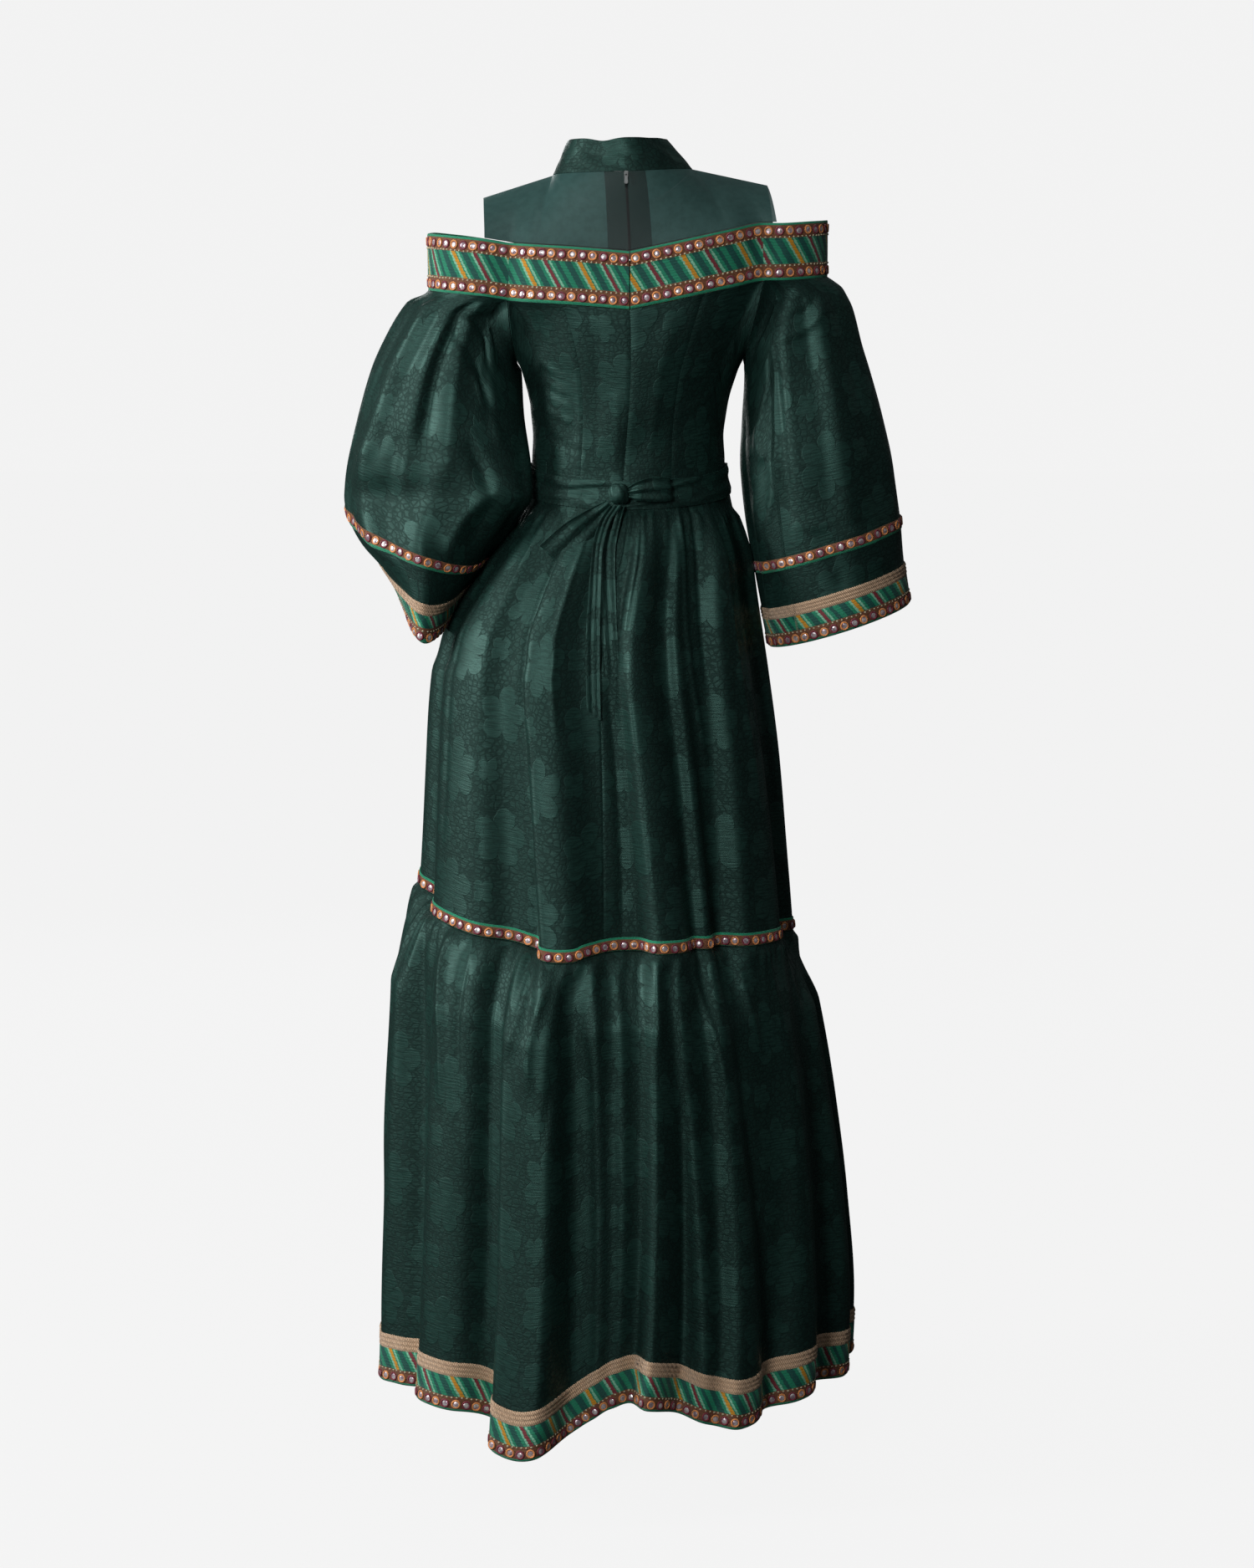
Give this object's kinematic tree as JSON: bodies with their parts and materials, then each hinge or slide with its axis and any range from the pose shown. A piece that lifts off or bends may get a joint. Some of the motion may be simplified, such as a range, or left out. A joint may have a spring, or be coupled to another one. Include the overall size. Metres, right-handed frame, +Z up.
{
  "type": "long satin dress with cold shoulders and a tiered skirt",
  "caption": "Hollow full-length dress in its worn shape: collar, sheer yoke, mirror ribbon round bare shoulders, wide sleeves, tied sash, gathered skirt with a flounce, back zip.",
  "frame": {"origin": "middle of the neck, level with the shoulder seams, where the wearer's shoulders hold the dress", "axes": "+Z up; +Y out of the back, where the zip and the sash's bow are; +X to the wearer's left"},
  "size_m": [0.6509, 0.526, 1.4561],
  "materials": {
    "satin": "dark green jacquard satin with tone-on-tone flowers",
    "sheer": "dark green see-through organza",
    "mirror_ribbon": "embroidered stripes with rows of small mirrors",
    "mirror_tape": "one row of small mirrors in stitched rings",
    "braid": "beige ribbed braid",
    "zip_metal": "bright zip metal"
  },
  "bodies": {
    "dress": {"collar": "satin", "bodice_back_left": "satin", "bodice_back_right": "satin", "bodice_side_left": "satin", "bodice_side_right": "satin", "bodice_front": "satin", "sleeve_left": "satin", "sleeve_right": "satin", "sash": "satin", "bow_knot": "satin", "bow_loop_left": "satin", "bow_loop_right": "satin", "bow_tail_long": "satin", "bow_tail_short": "satin", "skirt_back_left": "satin", "skirt_back_right": "satin", "skirt_front": "satin", "flounce_back": "satin", "flounce_front": "satin", "zip_facing_left": "satin", "zip_facing_right": "satin", "yoke_back_left": "sheer", "yoke_back_right": "sheer", "yoke_front": "sheer", "ribbon_back_left": "mirror_ribbon", "ribbon_back_right": "mirror_ribbon", "ribbon_sleeve_left": "mirror_ribbon", "ribbon_sleeve_right": "mirror_ribbon", "ribbon_front": "mirror_ribbon", "cuff_ribbon_left": "mirror_ribbon", "cuff_ribbon_right": "mirror_ribbon", "hem_ribbon_back": "mirror_ribbon", "hem_ribbon_front": "mirror_ribbon", "sleeve_tape_left": "mirror_tape", "sleeve_tape_right": "mirror_tape", "seam_tape_back": "mirror_tape", "seam_tape_front": "mirror_tape", "cuff_braid_left": "braid", "cuff_braid_right": "braid", "hem_braid_back": "braid", "hem_braid_front": "braid", "zip_slider": "zip_metal"},
    "pull_tab": {"zip_pull": "zip_metal"}
  },
  "joints": [
    {"name": "pull_tab_swing", "type": "hinge", "parent": "dress", "child": "pull_tab", "pos_m": [0.001, 0.07025, -0.0034], "axis": [1, 0, 0], "range_deg": [0, 130]}
  ]
}
